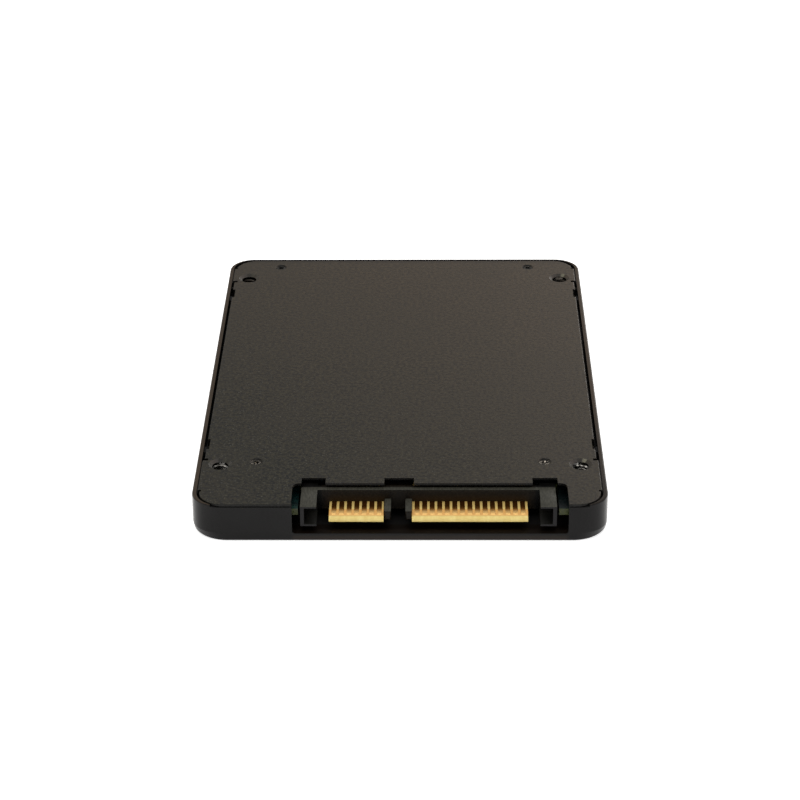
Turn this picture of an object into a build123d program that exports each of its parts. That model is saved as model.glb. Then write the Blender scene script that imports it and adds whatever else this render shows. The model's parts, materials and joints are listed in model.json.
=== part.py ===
"""Solid state drive, 2.5-inch form factor, 7 mm thick, with a serial interface connector.

Frame: +Z up, out of the sheet metal base plate. +Y runs from the connector end to the plain
end and +X to the right of someone who looks at the connector. The origin is the centre of
the footprint, on the plane of the underside. Every length is in millimetres.

Distances along the drive are given from the connector end and turned into Y by along().
"""
import os

from build123d import *

# ---------------------------------------------------------------- driving dimensions
WIDTH = 69.85
LENGTH = 100.0
HEIGHT = 7.0
CORNER_R = 4.7

# case shell: a moulded tray, open on top and at the connector
FLOOR_T = 1.0
RIM_Z = 6.9
RIM_W = 0.75
RIM_END_W = 0.55
WALL_T = 1.0
END_WALL_T = 1.4
WALL_STEP_Z = 4.6
FRONT_WALL_Z = 6.45
FRONT_WALL_X = 31.6
SEAT_GAP = 0.12
SEAT_CORNER_X = 34.1
SEAT_CORNER_R = 4.3
GROOVE_Z = 5.7
GROOVE_X = 31.5
GROOVE_FROM_END = 0.75
LEDGE_W = 1.925
LEDGE_CORNER_R = 2.2
BOTTOM_ROUND = 0.45
FOOT_CORNER_R = 6.4
FOOT_Z = 1.6
RIM_ROUND = 0.30
OPENING_X = (-18.0, 28.2)
OPENING_Z = 1.45
OPENING_R = 0.5
RIB_H = 0.6
RIB_T = 0.8
RIB_X = (-22.0, 0.0, 22.0)
RIB_Y = (18.0, 92.0)

# base plate: pressed steel sheet with flanges along both sides
SHEET_T = 0.4
PLATE_Z = HEIGHT - SHEET_T
PLATE_FRONT_GAP = 0.10
PLATE_REAR_GAP = 0.95
PLATE_CORNER_X = 33.70
PLATE_SHOULDER_X = 34.00
PLATE_FLANGE_X = 33.70
PLATE_CORNER_R = 4.3
CORNER_TICK = 5.0
CORNER_TICK_W = 0.5
CORNER_TICK_X = 33.4
FLANGE_Z = 5.2
BEND_R = 0.75
SLIT_W = 0.7
SLIT_X = 33.05
SLIT_FROM_HOLE = 1.3
WINDOW_X = 33.2
WINDOW_Z = 5.6
WINDOW_FROM_HOLE = (5.4, 9.0)
LUG_CLEARANCE = 0.2
LUG_INSET = 0.8
LUG_TIP_H = 0.15
LUG_ROOT_H = 0.30
PLATE_EDGE_ROUND = 0.22
CUTOUT_X = (-18.1, 28.2)
CUTOUT_DEPTH = 7.3
CUTOUT_R = 1.2
NOTCH_DEPTH = 9.1
NOTCH_X = ((-16.66, -12.58), (-2.64, 2.37), (22.39, 26.64))

# standard M3 mounting holes, in the base plate and in the sides
M3_X = 30.86
M3_ALONG = (14.0, 90.6)
M3_BORE_R = 1.25
M3_BOTTOM_DEPTH = 4.0
M3_SIDE_Z = 4.0
M3_SIDE_END_X = 32.35
FLARE_R = 2.0
FLARE_THROAT_R = 1.40
BLOCK_X = (28.4, 33.85)
BLOCK_HALF_Y = 3.1
BLOCK_LUG_X = 32.8
BLOCK_LUG_INNER = 1.2
COLLAR_R = 2.0
COLLAR_X = 34.75
FIT_GAP = 0.05

# small countersunk screws that hold the base plate
COVER_SCREW_X = 24.75
COVER_SCREW_ALONG = (14.9, 95.8)
COVER_HEAD_R = 0.98
COVER_HEAD_Z = (6.35, 6.84)
COVER_SHANK_R = 0.70
COVER_SINK_R = 1.16
COVER_SINK_THROAT_R = 0.84
COVER_SHANK_END_Z = 3.2
COVER_BOSS_R = 1.8
CROSS_W = 0.28
CROSS_L = 1.10
CROSS_DEPTH = 0.36

# circuit board and its screws
BOARD_Z = (3.5, 4.7)
BOARD_X = 31.8
BOARD_ALONG = (2.7, 93.6)
BOARD_CORNER_R = 1.9
BOARD_NOTCH_GAP = 0.45
BOARD_BLOCK_X = 28.1
BOARD_BLOCK_ALONG = (10.5, 17.4)
BOARD_REAR_NOTCH = 87.2
BOARD_SCREW_X = 29.2
BOARD_SCREW_ALONG = (30.0, 74.0)
BOARD_HEAD_R = 1.5
BOARD_HEAD_H = 0.8
BOARD_SHANK_R = 0.8
BOARD_SHANK_END_Z = 1.6
STANDOFF_R = 2.2
BOSS_CLEAR_R = 2.05

# interface connector: a moulded housing with two guide posts, and two contact wafers
PITCH = 1.27
CONN_CENTRE_X = 4.8
CONN_W = 42.9
CONN_Z = (2.5, 6.2)
CONN_FACE = 6.45
CONN_TOP_END = 8.0
POST_TAIL_END = 8.85
CONN_END = 10.6
CONN_REAR_Z = 5.5
POST_FRONT = 0.6
POST_W = 2.76
POST_WALL = 0.68
POST_POCKET_Z = (2.9, 5.88)
POST_POCKET_END = 5.2
POST_ROUND = 0.15
KEY_FRONT = 2.0
KEY_Z = (2.85, 4.5)
KEY_CHAMFER = 0.2
SIGNAL_TONGUE = (-11.895, -2.72)
POWER_TONGUE = (2.03, 21.495)
SIGNAL_KEY = (-2.6, -1.485)
POWER_KEY = (0.925, 2.03)
FIRST_SIGNAL_X = -11.075
FIRST_POWER_X = 2.895
SIGNAL_COUNT = 7
POWER_COUNT = 15
TONGUE_Z = (2.70, 3.93)
TONGUE_FRONT = 1.55
TONGUE_UNDER_CHAMFER = 0.16
TONGUE_NOSE = ((0.3, 0.12), (0.0, 0.4))
WAFER_STEP = 8.0
WAFER_REAR_Z = 5.2
CONTACT_W = 0.84
CONTACT_T = 0.25
CONTACT_PROUD = 0.03
CONTACT_TIP = 2.3
CONTACT_BEND = 3.3
CONTACT_DROP = 0.185
CONTACT_BEND_SHIFT = 0.10
CONTACT_RISE = (8.5, 9.2)
CONTACT_END = 12.4
HOLD_DOWN_W = 2.0
HOLD_DOWN_T = 0.2
HOLD_DOWN_END = 12.5
HOLD_DOWN_SLOT = 9.6
HOLD_DOWN_INSET = 1.5

# board components: (centre x, distance along)
CONTROLLER = (0.0, 32.0)
CONTROLLER_SIZE = (14.0, 14.0, 1.2)
DRAM = (-17.0, 32.0)
DRAM_SIZE = (9.0, 13.0, 1.0)
FLASH_X = (-13.0, 13.0)
FLASH_ALONG = (52.0, 73.0)
FLASH_SIZE = (14.0, 18.0, 1.0)
BOOT_CHIP = (-15.5, 20.0)
BOOT_CHIP_SIZE = (6.0, 5.0, 0.8)
CRYSTAL = (-8.0, 20.0)
CRYSTAL_SIZE = (3.2, 2.5, 0.7)
REGULATORS = ((14.5, 27.5), (20.5, 27.5), (14.5, 33.0))
REGULATOR_SIZE = (3.0, 3.0, 0.8)
INDUCTORS = ((13.5, 20.0), (18.5, 20.0), (20.5, 33.5))
INDUCTOR_SIZE = (4.0, 4.0, 1.2)
FUSE = (8.5, 16.0)
FUSE_SIZE = (3.2, 1.6, 0.6)
HOLD_UP_CAPS_X = (-20.0, -10.0, 0.0, 10.0, 20.0)
HOLD_UP_CAPS_ALONG = 88.5
HOLD_UP_CAP_SIZE = (7.3, 4.3, 1.5)
CHIP_CHAMFER = 0.12
PIN_MARK_R = 0.4
PIN_MARK_DEPTH = 0.06
PIN_MARK_INSET = 1.3
CAP_SIZE = (1.0, 0.5, 0.5)
RESISTOR_SIZE = (1.0, 0.5, 0.35)
TINY_ROUND = 0.08
SMALL_ROUND = 0.18
LARGE_ROUND = 0.30

# soft and stuck-on pieces
FILM_Z = (PLATE_Z - 0.1, PLATE_Z)
FILM_X = 28.0
FILM_ALONG = (12.5, 97.0)
FILM_HOLE_R = 2.1
PAD_INSET = 1.0
PAD_R = 1.0
LABEL_HALF_X = 30.0
LABEL_ALONG = (6.0, 94.0)
LABEL_R = 2.0
LABEL_RECESS = 0.15
LABEL_T = 0.10
LABEL_GAP = 0.2

BOTH_SIDES = (-1, 1)


# ---------------------------------------------------------------- building blocks
def along(distance):
    """Y of a point at this distance from the connector end."""
    return distance - LENGTH / 2


def brick(x_range, along_range, z_range):
    """Box between two distances along the drive."""
    size = [high - low for low, high in (x_range, along_range, z_range)]
    centre = [(low + high) / 2 for low, high in (x_range, along_range, z_range)]
    return Pos(centre[0], along(centre[1]), centre[2]) * Box(*size)


def side_range(side, near, far):
    """X range between two distances from the middle, on the left (-1) or the right (1)."""
    return tuple(sorted((side * near, side * far)))


def slab(half_width, along_range, radius, z_range):
    """Flat plate with rounded corners."""
    outline = RectangleRounded(2 * half_width, along_range[1] - along_range[0], radius)
    centre = Pos(0, along(sum(along_range) / 2), z_range[0])
    return centre * extrude(outline, z_range[1] - z_range[0])


def post(x, distance, radius, z_range):
    """Upright cylinder."""
    height = z_range[1] - z_range[0]
    return Pos(x, along(distance), z_range[0] + height / 2) * Cylinder(radius, height)


def cross_bar(x_range, distance, z, radius):
    """Cylinder that lies along X."""
    length = x_range[1] - x_range[0]
    place = Pos(sum(x_range) / 2, along(distance), z)
    return place * Rot(0, 90, 0) * Cylinder(radius, length)


def countersink(x, distance, throat_r, mouth_r, z_range):
    """Cone that widens upwards."""
    height = z_range[1] - z_range[0]
    place = Pos(x, along(distance), z_range[0] + height / 2)
    return place * Cone(throat_r, mouth_r, height)


def side_profile(points, x_range):
    """Solid with an outline of (distance along, z) points, drawn out along X."""
    corners = [(x_range[0], along(distance), z) for distance, z in points]
    face = make_face(Polyline(*corners, close=True))
    return extrude(face, x_range[1] - x_range[0], dir=(1, 0, 0))


def level_edges(solid, z):
    """Edges that lie wholly in one level plane."""
    return solid.edges().filter_by_position(Axis.Z, z - 0.001, z + 0.001)


def hole_places():
    """The four M3 corners as (side, x, distance along, direction to the middle)."""
    for distance in M3_ALONG:
        inward = 1 if distance < LENGTH / 2 else -1
        for side in BOTH_SIDES:
            yield side, side * M3_X, distance, inward


def from_hole(distance, inward, near, far):
    """Range between two distances from an M3 hole, counted towards the middle."""
    return tuple(sorted((distance + inward * near, distance + inward * far)))


# ---------------------------------------------------------------- case and base plate
def case_cavity():
    """Everything hollowed out of the case: main space, plate seat and block pockets."""
    half = WIDTH / 2
    inner = (END_WALL_T, LENGTH - END_WALL_T)
    flange_run = (M3_ALONG[0] + SLIT_FROM_HOLE, M3_ALONG[1] - SLIT_FROM_HOLE)
    low = slab(half - WALL_T, inner, CORNER_R - WALL_T, (FLOOR_T, WALL_STEP_Z))
    middle = slab(half - LEDGE_W, inner, LEDGE_CORNER_R, (WALL_STEP_Z, PLATE_Z))
    seat = slab(half - RIM_W, (RIM_END_W, LENGTH - RIM_END_W), CORNER_R - RIM_W, (PLATE_Z, HEIGHT))
    gallery = brick((RIM_W - half, half - RIM_W), flange_run, (WALL_STEP_Z, HEIGHT))
    corners = slab(SEAT_CORNER_X, (PLATE_FRONT_GAP - SEAT_GAP, LENGTH / 2),
                   SEAT_CORNER_R, (GROOVE_Z, HEIGHT))
    corners &= brick((-half, half), (-1, CORNER_TICK), (GROOVE_Z, HEIGHT))
    shallow = brick((-half, half), (-1, GROOVE_FROM_END), (GROOVE_Z, PLATE_Z))
    middle_part = brick((-GROOVE_X, GROOVE_X), (-1, CORNER_TICK), (GROOVE_Z, PLATE_Z))
    corners -= shallow + middle_part
    rear = slab(half - RIM_W, (LENGTH / 2, LENGTH - RIM_END_W), CORNER_R - RIM_W,
                (GROOVE_Z, PLATE_Z))
    for side in BOTH_SIDES:
        reach = (LENGTH - CORNER_TICK, LENGTH - GROOVE_FROM_END)
        corners += rear & brick(side_range(side, GROOVE_X, half), reach, (GROOVE_Z, PLATE_Z))
    lip = brick((-FRONT_WALL_X, FRONT_WALL_X), (-1, END_WALL_T), (FRONT_WALL_Z, HEIGHT))
    cavity = low + middle + seat + gallery + corners + lip
    for side, _, distance, _ in hole_places():
        pocket = (distance - BLOCK_HALF_Y - FIT_GAP, distance + BLOCK_HALF_Y + FIT_GAP)
        cavity += brick(side_range(side, BLOCK_X[0], half - WALL_T), pocket, (FLOOR_T, PLATE_Z))
        wall = side_range(side, M3_X, half + 1)
        cavity += cross_bar(wall, distance, M3_SIDE_Z, COLLAR_R + FIT_GAP)
    return cavity


def connector_opening():
    """Slot in the front wall, open at the top, with rounded lower corners."""
    width = OPENING_X[1] - OPENING_X[0]
    height = 2 * (HEIGHT - OPENING_Z)
    outline = Plane.XZ * RectangleRounded(width, height, OPENING_R)
    slot = extrude(outline, END_WALL_T + 1, both=True)
    return Pos(sum(OPENING_X) / 2, along(0), HEIGHT) * slot


def snap_lug(side, distance, inward):
    """Wedge on the case wall under a window of the base plate's flange."""
    wall_x = WIDTH / 2 - RIM_W
    y_range = from_hole(distance, inward, WINDOW_FROM_HOLE[0] + LUG_INSET,
                       WINDOW_FROM_HOLE[1] - LUG_INSET)
    tip_x = WINDOW_X + LUG_CLEARANCE
    low = WINDOW_Z + FIT_GAP
    points = [(side * (wall_x + FIT_GAP), low), (side * tip_x, low),
              (side * tip_x, low + LUG_TIP_H), (side * (wall_x + FIT_GAP), low + LUG_ROOT_H)]
    face = make_face(Polyline(*[(x, along(y_range[0]), z) for x, z in points], close=True))
    return extrude(face, y_range[1] - y_range[0], dir=(0, 1, 0))


def case_shell():
    """Moulded tray with bosses for both kinds of screw, ribs, snap lugs and a label recess."""
    sole = RectangleRounded(WIDTH, LENGTH, FOOT_CORNER_R)
    foot = loft([sole, Pos(0, 0, FOOT_Z) * RectangleRounded(WIDTH, LENGTH, CORNER_R)], ruled=True)
    shell = foot + slab(WIDTH / 2, (0, LENGTH), CORNER_R, (FOOT_Z, RIM_Z))
    shell = fillet(level_edges(shell, 0), BOTTOM_ROUND)
    shell = fillet(level_edges(shell, RIM_Z), RIM_ROUND)
    shell -= case_cavity()
    shell -= connector_opening()
    for x in RIB_X:
        shell += brick((x - RIB_T / 2, x + RIB_T / 2), RIB_Y, (FLOOR_T, FLOOR_T + RIB_H))
    for side in BOTH_SIDES:
        for distance in COVER_SCREW_ALONG:
            x = side * COVER_SCREW_X
            boss = post(x, distance, COVER_BOSS_R, (FLOOR_T, PLATE_Z))
            boss -= post(x, distance, COVER_SHANK_R + FIT_GAP,
                         (COVER_SHANK_END_Z - FIT_GAP, PLATE_Z))
            boss -= countersink(x, distance, COVER_SHANK_R + FIT_GAP,
                                COVER_HEAD_R + FIT_GAP, COVER_HEAD_Z)
            shell += boss
        for distance in BOARD_SCREW_ALONG:
            boss = post(side * BOARD_SCREW_X, distance, STANDOFF_R, (FLOOR_T, BOARD_Z[0]))
            hole = post(side * BOARD_SCREW_X, distance, BOARD_SHANK_R + FIT_GAP,
                        (BOARD_SHANK_END_Z - FIT_GAP, BOARD_Z[0]))
            shell += boss - hole
    for side, _, distance, inward in hole_places():
        shell += snap_lug(side, distance, inward)
    recess = (LABEL_ALONG[0] - LABEL_GAP, LABEL_ALONG[1] + LABEL_GAP)
    shell -= slab(LABEL_HALF_X + LABEL_GAP, recess, LABEL_R + LABEL_GAP, (0, LABEL_RECESS))
    return shell


def plate_cutout():
    """Clearance for the connector at the front edge, with three deeper notches."""
    width = CUTOUT_X[1] - CUTOUT_X[0]
    centre_x = sum(CUTOUT_X) / 2
    outline = RectangleRounded(width, 2 * CUTOUT_DEPTH, CUTOUT_R)
    cut = Pos(centre_x, along(0), FLANGE_Z) * extrude(outline, HEIGHT)
    for x_range in NOTCH_X:
        cut += brick(x_range, (CUTOUT_DEPTH - 1, NOTCH_DEPTH), (FLANGE_Z, HEIGHT + 1))
    return cut


def base_plate():
    """Sheet metal plate: flat field, shoulders, side flanges, holes and the connector cut-out."""
    ends = (PLATE_FRONT_GAP, LENGTH - PLATE_REAR_GAP)
    sheet_z = (PLATE_Z, HEIGHT)
    plate = slab(PLATE_CORNER_X, ends, PLATE_CORNER_R, sheet_z)
    plate = fillet(level_edges(plate, HEIGHT), PLATE_EDGE_ROUND)
    run = (M3_ALONG[0] + SLIT_FROM_HOLE + SLIT_W, M3_ALONG[1] - SLIT_FROM_HOLE - SLIT_W)
    channel = brick((-PLATE_FLANGE_X, PLATE_FLANGE_X), run, (FLANGE_Z, HEIGHT))
    bends = level_edges(channel, HEIGHT).filter_by(Axis.Y)
    channel = fillet(bends, BEND_R)
    inner_x = PLATE_FLANGE_X - SHEET_T
    channel -= brick((-inner_x, inner_x), run, (FLANGE_Z, PLATE_Z))
    plate += channel
    for side, x, distance, inward in hole_places():
        end = CORNER_TICK if inward == 1 else LENGTH - CORNER_TICK
        shoulder_run = tuple(sorted((end, distance + inward * SLIT_FROM_HOLE)))
        shoulder = brick(side_range(side, M3_X, PLATE_SHOULDER_X), shoulder_run, sheet_z)
        outer = level_edges(shoulder, HEIGHT).filter_by(Axis.Y).sort_by(Axis.X)
        plate += fillet(outer[-1 if side == 1 else 0], PLATE_EDGE_ROUND)
        tick = (end, end - inward * CORNER_TICK_W)
        plate -= brick(side_range(side, CORNER_TICK_X, WIDTH / 2), tuple(sorted(tick)), sheet_z)
        slit = from_hole(distance, inward, SLIT_FROM_HOLE, SLIT_FROM_HOLE + SLIT_W)
        plate -= brick(side_range(side, SLIT_X, WIDTH / 2), slit, (FLANGE_Z, HEIGHT))
        window = from_hole(distance, inward, *WINDOW_FROM_HOLE)
        plate -= brick(side_range(side, WINDOW_X, WIDTH / 2), window, (WINDOW_Z, HEIGHT))
        plate -= countersink(x, distance, FLARE_THROAT_R, FLARE_R, sheet_z)
    for side in BOTH_SIDES:
        for distance in COVER_SCREW_ALONG:
            x = side * COVER_SCREW_X
            plate -= countersink(x, distance, COVER_SINK_THROAT_R, COVER_SINK_R, sheet_z)
    return plate - plate_cutout()


def mounting_block(side, distance, inward):
    """Metal corner block with an upright and a sideways M3 thread."""
    y_range = (distance - BLOCK_HALF_Y, distance + BLOCK_HALF_Y)
    block = brick(side_range(side, *BLOCK_X), y_range, (FLOOR_T, PLATE_Z))
    relief = from_hole(distance, inward, BLOCK_LUG_INNER, BLOCK_HALF_Y + 1)
    block -= brick(side_range(side, BLOCK_LUG_X, WIDTH / 2), relief, (0, HEIGHT))
    block += cross_bar(side_range(side, M3_X, COLLAR_X), distance, M3_SIDE_Z, COLLAR_R)
    block -= post(side * M3_X, distance, M3_BORE_R, (PLATE_Z - M3_BOTTOM_DEPTH, PLATE_Z))
    block -= cross_bar(side_range(side, M3_SIDE_END_X, WIDTH / 2), distance, M3_SIDE_Z, M3_BORE_R)
    return block


# ---------------------------------------------------------------- screws
def cross_recess(z):
    """Cutter for a cross-shaped driver recess in a screw head."""
    bar = Box(CROSS_L, CROSS_W, CROSS_DEPTH) + Box(CROSS_W, CROSS_L, CROSS_DEPTH)
    return Pos(0, 0, z - CROSS_DEPTH / 2) * bar


def cover_screw(x, distance):
    """Countersunk screw, seated in the base plate."""
    low, high = COVER_HEAD_Z
    head = Pos(0, 0, (low + high) / 2) * Cone(COVER_SHANK_R, COVER_HEAD_R, high - low)
    shank_length = low - COVER_SHANK_END_Z
    shank = Pos(0, 0, low - shank_length / 2) * Cylinder(COVER_SHANK_R, shank_length)
    return Pos(x, along(distance), 0) * (head + shank - cross_recess(high))


def board_screw(x, distance):
    """Pan head screw that holds the circuit board on a standoff."""
    top = BOARD_Z[1] + BOARD_HEAD_H
    head = Pos(0, 0, top - BOARD_HEAD_H / 2) * Cylinder(BOARD_HEAD_R, BOARD_HEAD_H)
    head = fillet(level_edges(head, top), BOARD_HEAD_H / 3)
    shank_length = BOARD_Z[1] - BOARD_SHANK_END_Z
    shank = Pos(0, 0, BOARD_Z[1] - shank_length / 2) * Cylinder(BOARD_SHANK_R, shank_length)
    return Pos(x, along(distance), 0) * (head + shank - cross_recess(top))


# ---------------------------------------------------------------- connector
def contact_points():
    """Outline of one contact strip: tip, flat blade, step up and solder tail."""
    blade_z = TONGUE_Z[1] + CONTACT_PROUD
    tail_z = BOARD_Z[1] + CONTACT_T
    top = [(CONTACT_TIP, blade_z - CONTACT_DROP), (CONTACT_BEND, blade_z),
           (CONTACT_RISE[0], blade_z), (CONTACT_RISE[1], tail_z), (CONTACT_END, tail_z)]
    under = [(CONTACT_END, BOARD_Z[1]), (CONTACT_RISE[1] + CONTACT_BEND_SHIFT, BOARD_Z[1]),
             (CONTACT_RISE[0] + CONTACT_BEND_SHIFT, blade_z - CONTACT_T),
             (CONTACT_BEND, blade_z - CONTACT_T),
             (CONTACT_TIP, blade_z - CONTACT_DROP - CONTACT_T)]
    return top + under


def contact_row(first_x, count):
    """Evenly spaced contact strips, each a separate solid."""
    strips = []
    for index in range(count):
        x = first_x + index * PITCH
        strips.append(side_profile(contact_points(), (x - CONTACT_W / 2, x + CONTACT_W / 2)))
    return strips


def wafer(x_range, contacts):
    """Tongue with a sloped nose and a rear block, grooved for its contacts."""
    low, high = TONGUE_Z
    nose = high - CONTACT_DROP
    under = TONGUE_UNDER_CHAMFER
    points = [(TONGUE_FRONT, low + under), (TONGUE_FRONT + under, low), (CONN_END, low),
              (CONN_END, WAFER_REAR_Z), (WAFER_STEP, WAFER_REAR_Z), (WAFER_STEP, high),
              (CONTACT_BEND, high), (CONTACT_TIP, nose)]
    points += [(TONGUE_FRONT + back, nose - drop) for back, drop in TONGUE_NOSE]
    body = side_profile(points, x_range)
    for strip in contacts:
        body -= strip
    return body


def guide_post(x_range, open_side):
    """Channel-shaped post, open at the front and towards the contacts."""
    body = brick(x_range, (POST_FRONT, CONN_FACE), CONN_Z)
    body = fillet(body.edges().filter_by(Axis.Y), POST_ROUND)
    pocket_x = (x_range[0] + POST_WALL, x_range[1] + 1)
    if open_side < 0:
        pocket_x = (x_range[0] - 1, x_range[1] - POST_WALL)
    return body - brick(pocket_x, (0, POST_POCKET_END), POST_POCKET_Z)


def hold_down_x():
    """Middle of the two board tabs."""
    reach = CONN_W / 2 - HOLD_DOWN_INSET
    return CONN_CENTRE_X - reach, CONN_CENTRE_X + reach


def hold_down(x):
    """Bent metal tab: one leg in the housing and a foot soldered to the board."""
    x_range = (x - HOLD_DOWN_W / 2, x + HOLD_DOWN_W / 2)
    low = BOARD_Z[1]
    return brick(x_range, (HOLD_DOWN_SLOT, HOLD_DOWN_END), (low, low + HOLD_DOWN_T))


def connector_housing(wafers, contacts, hold_downs):
    """Housing body, posts and keys, with room for the wafers, contacts and tabs."""
    left = CONN_CENTRE_X - CONN_W / 2
    right = CONN_CENTRE_X + CONN_W / 2
    body = brick((left, right), (CONN_FACE, CONN_TOP_END), CONN_Z)
    body += brick((left, right), (CONN_TOP_END, CONN_END), (CONN_Z[0], CONN_REAR_Z))
    for x_range, open_side in (((left, left + POST_W), 1), ((right - POST_W, right), -1)):
        body += guide_post(x_range, open_side)
        body += brick(x_range, (CONN_TOP_END, POST_TAIL_END), CONN_Z)
    for x_range in (SIGNAL_KEY, POWER_KEY):
        key = brick(x_range, (KEY_FRONT, CONN_FACE), KEY_Z)
        front_edges = key.edges().filter_by_position(Axis.Y, along(KEY_FRONT), along(KEY_FRONT))
        body += chamfer(front_edges, KEY_CHAMFER)
    for x_range in (SIGNAL_TONGUE, POWER_TONGUE):
        blade_top = TONGUE_Z[1] + 2 * CONTACT_PROUD
        body -= brick(x_range, (CONN_FACE, WAFER_STEP), (TONGUE_Z[0], blade_top))
    for piece in wafers + contacts + hold_downs:
        body -= piece
    return body


# ---------------------------------------------------------------- board and components
def circuit_board():
    """Board with a notch for the connector, clearance for the blocks and screw holes."""
    board = slab(BOARD_X, BOARD_ALONG, BOARD_CORNER_R, BOARD_Z)
    reach = CONN_W / 2 + BOARD_NOTCH_GAP
    notch_x = (CONN_CENTRE_X - reach, CONN_CENTRE_X + reach)
    board -= brick(notch_x, (0, CONN_END + BOARD_NOTCH_GAP), BOARD_Z)
    for side in BOTH_SIDES:
        clear_x = side_range(side, BOARD_BLOCK_X, BOARD_X)
        board -= brick(clear_x, BOARD_BLOCK_ALONG, BOARD_Z)
        board -= brick(clear_x, (BOARD_REAR_NOTCH, LENGTH), BOARD_Z)
        board -= post(side * COVER_SCREW_X, COVER_SCREW_ALONG[0], BOSS_CLEAR_R, BOARD_Z)
        for distance in BOARD_SCREW_ALONG:
            board -= post(side * BOARD_SCREW_X, distance, BOARD_SHANK_R + FIT_GAP, BOARD_Z)
    return board


def chip(place, size, under=False, marked=True):
    """Chip package with chamfered upper edges and a pin-one dimple."""
    width, length, height = size
    body = Pos(0, 0, height / 2) * Box(width, length, height)
    body = chamfer(level_edges(body, height), CHIP_CHAMFER)
    if marked:
        mark = Pos(PIN_MARK_INSET - width / 2, length / 2 - PIN_MARK_INSET, height)
        body -= mark * Cylinder(PIN_MARK_R, 2 * PIN_MARK_DEPTH)
    x, distance = place
    if under:
        return Pos(x, along(distance), BOARD_Z[0]) * Rot(0, 180, 0) * body
    return Pos(x, along(distance), BOARD_Z[1]) * body


def brick_part(place, size, round_r):
    """Small board component with rounded upper edges."""
    width, length, height = size
    body = Pos(0, 0, height / 2) * Box(width, length, height)
    body = fillet(level_edges(body, height), round_r)
    return Pos(place[0], along(place[1]), BOARD_Z[1]) * body


def capacitor_places():
    """Ceramic capacitors: rows beside the controller, the memory and the connector."""
    places = [(x, distance) for distance in (22.5, 41.5)
              for x in (-6.0, -4.0, -2.0, 0.0, 2.0, 4.0, 6.0)]
    places += [(x, distance) for x in (-9.0, 9.0) for distance in (27.0, 29.5, 32.0, 34.5, 37.0)]
    places += [(x, 62.5) for x in (-18.0, -15.0, -12.0, -9.0, 9.0, 12.0, 15.0, 18.0)]
    places += [(x, 14.2) for x in (-9.5, -8.0, -6.0, -4.5)]
    return places


def resistor_places():
    """Chip resistors: beside the connector, the regulators and the boot memory."""
    places = [(x, distance) for distance in (29.8, 31.2) for x in (16.6, 18.0)]
    places += [(x, 24.0) for x in (-18.0, -16.0, -14.0)]
    places += [(x, 83.5) for x in (-15.0, -13.0, 13.0, 15.0)]
    places += [(x, 17.2) for x in (-2.0, 0.0, 2.0)]
    return places


# ---------------------------------------------------------------- film, pad and label
def insulating_film():
    """Thin film under the base plate, with clearance for the screw bosses."""
    film = slab(FILM_X, FILM_ALONG, LABEL_R, FILM_Z)
    for side in BOTH_SIDES:
        for distance in COVER_SCREW_ALONG:
            film -= post(side * COVER_SCREW_X, distance, FILM_HOLE_R, FILM_Z)
    return film


def thermal_pad():
    """Soft pad between the controller and the film."""
    half_x = CONTROLLER_SIZE[0] / 2 - PAD_INSET
    half_y = CONTROLLER_SIZE[1] / 2 - PAD_INSET
    x, distance = CONTROLLER
    z_range = (BOARD_Z[1] + CONTROLLER_SIZE[2], FILM_Z[0])
    pad = brick((x - half_x, x + half_x), (distance - half_y, distance + half_y), z_range)
    return fillet(pad.edges().filter_by(Axis.Z), PAD_R)


def underside_label():
    """Blank label, sunk in the recess of the underside."""
    return slab(LABEL_HALF_X, LABEL_ALONG, LABEL_R, (LABEL_RECESS - LABEL_T, LABEL_RECESS))


# ---------------------------------------------------------------- the whole drive
def build_connector():
    """The connector's nodes."""
    signal = contact_row(FIRST_SIGNAL_X, SIGNAL_COUNT)
    power = contact_row(FIRST_POWER_X, POWER_COUNT)
    wafers = [wafer(SIGNAL_TONGUE, signal), wafer(POWER_TONGUE, power)]
    tabs = [hold_down(x) for x in hold_down_x()]
    return {
        "connector_housing": connector_housing(wafers, signal + power, tabs),
        "signal_wafer": wafers[0],
        "power_wafer": wafers[1],
        "signal_contacts": Compound(children=signal),
        "power_contacts": Compound(children=power),
        "connector_hold_downs": Compound(children=tabs),
    }


def build_components():
    """The board's nodes and everything soldered to it."""
    nodes = {
        "circuit_board": circuit_board(),
        "controller_chip": chip(CONTROLLER, CONTROLLER_SIZE),
        "buffer_memory_chip": chip(DRAM, DRAM_SIZE),
        "boot_memory_chip": chip(BOOT_CHIP, BOOT_CHIP_SIZE),
        "crystal_oscillator": brick_part(CRYSTAL, CRYSTAL_SIZE, SMALL_ROUND),
        "input_fuse": brick_part(FUSE, FUSE_SIZE, TINY_ROUND),
        "voltage_regulators": Compound(children=[chip(at, REGULATOR_SIZE, marked=False)
                                                 for at in REGULATORS]),
        "power_inductors": Compound(children=[brick_part(at, INDUCTOR_SIZE, LARGE_ROUND)
                                              for at in INDUCTORS]),
        "hold_up_capacitors": Compound(children=[brick_part((x, HOLD_UP_CAPS_ALONG),
                                                            HOLD_UP_CAP_SIZE, SMALL_ROUND)
                                                 for x in HOLD_UP_CAPS_X]),
        "ceramic_capacitors": Compound(children=[brick_part(at, CAP_SIZE, TINY_ROUND)
                                                 for at in capacitor_places()]),
        "chip_resistors": Compound(children=[brick_part(at, RESISTOR_SIZE, TINY_ROUND)
                                             for at in resistor_places()]),
    }
    number = 0
    for under in (False, True):
        for distance in FLASH_ALONG:
            for x in FLASH_X:
                number += 1
                nodes[f"flash_memory_{number}"] = chip((x, distance), FLASH_SIZE, under)
    return nodes


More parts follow.
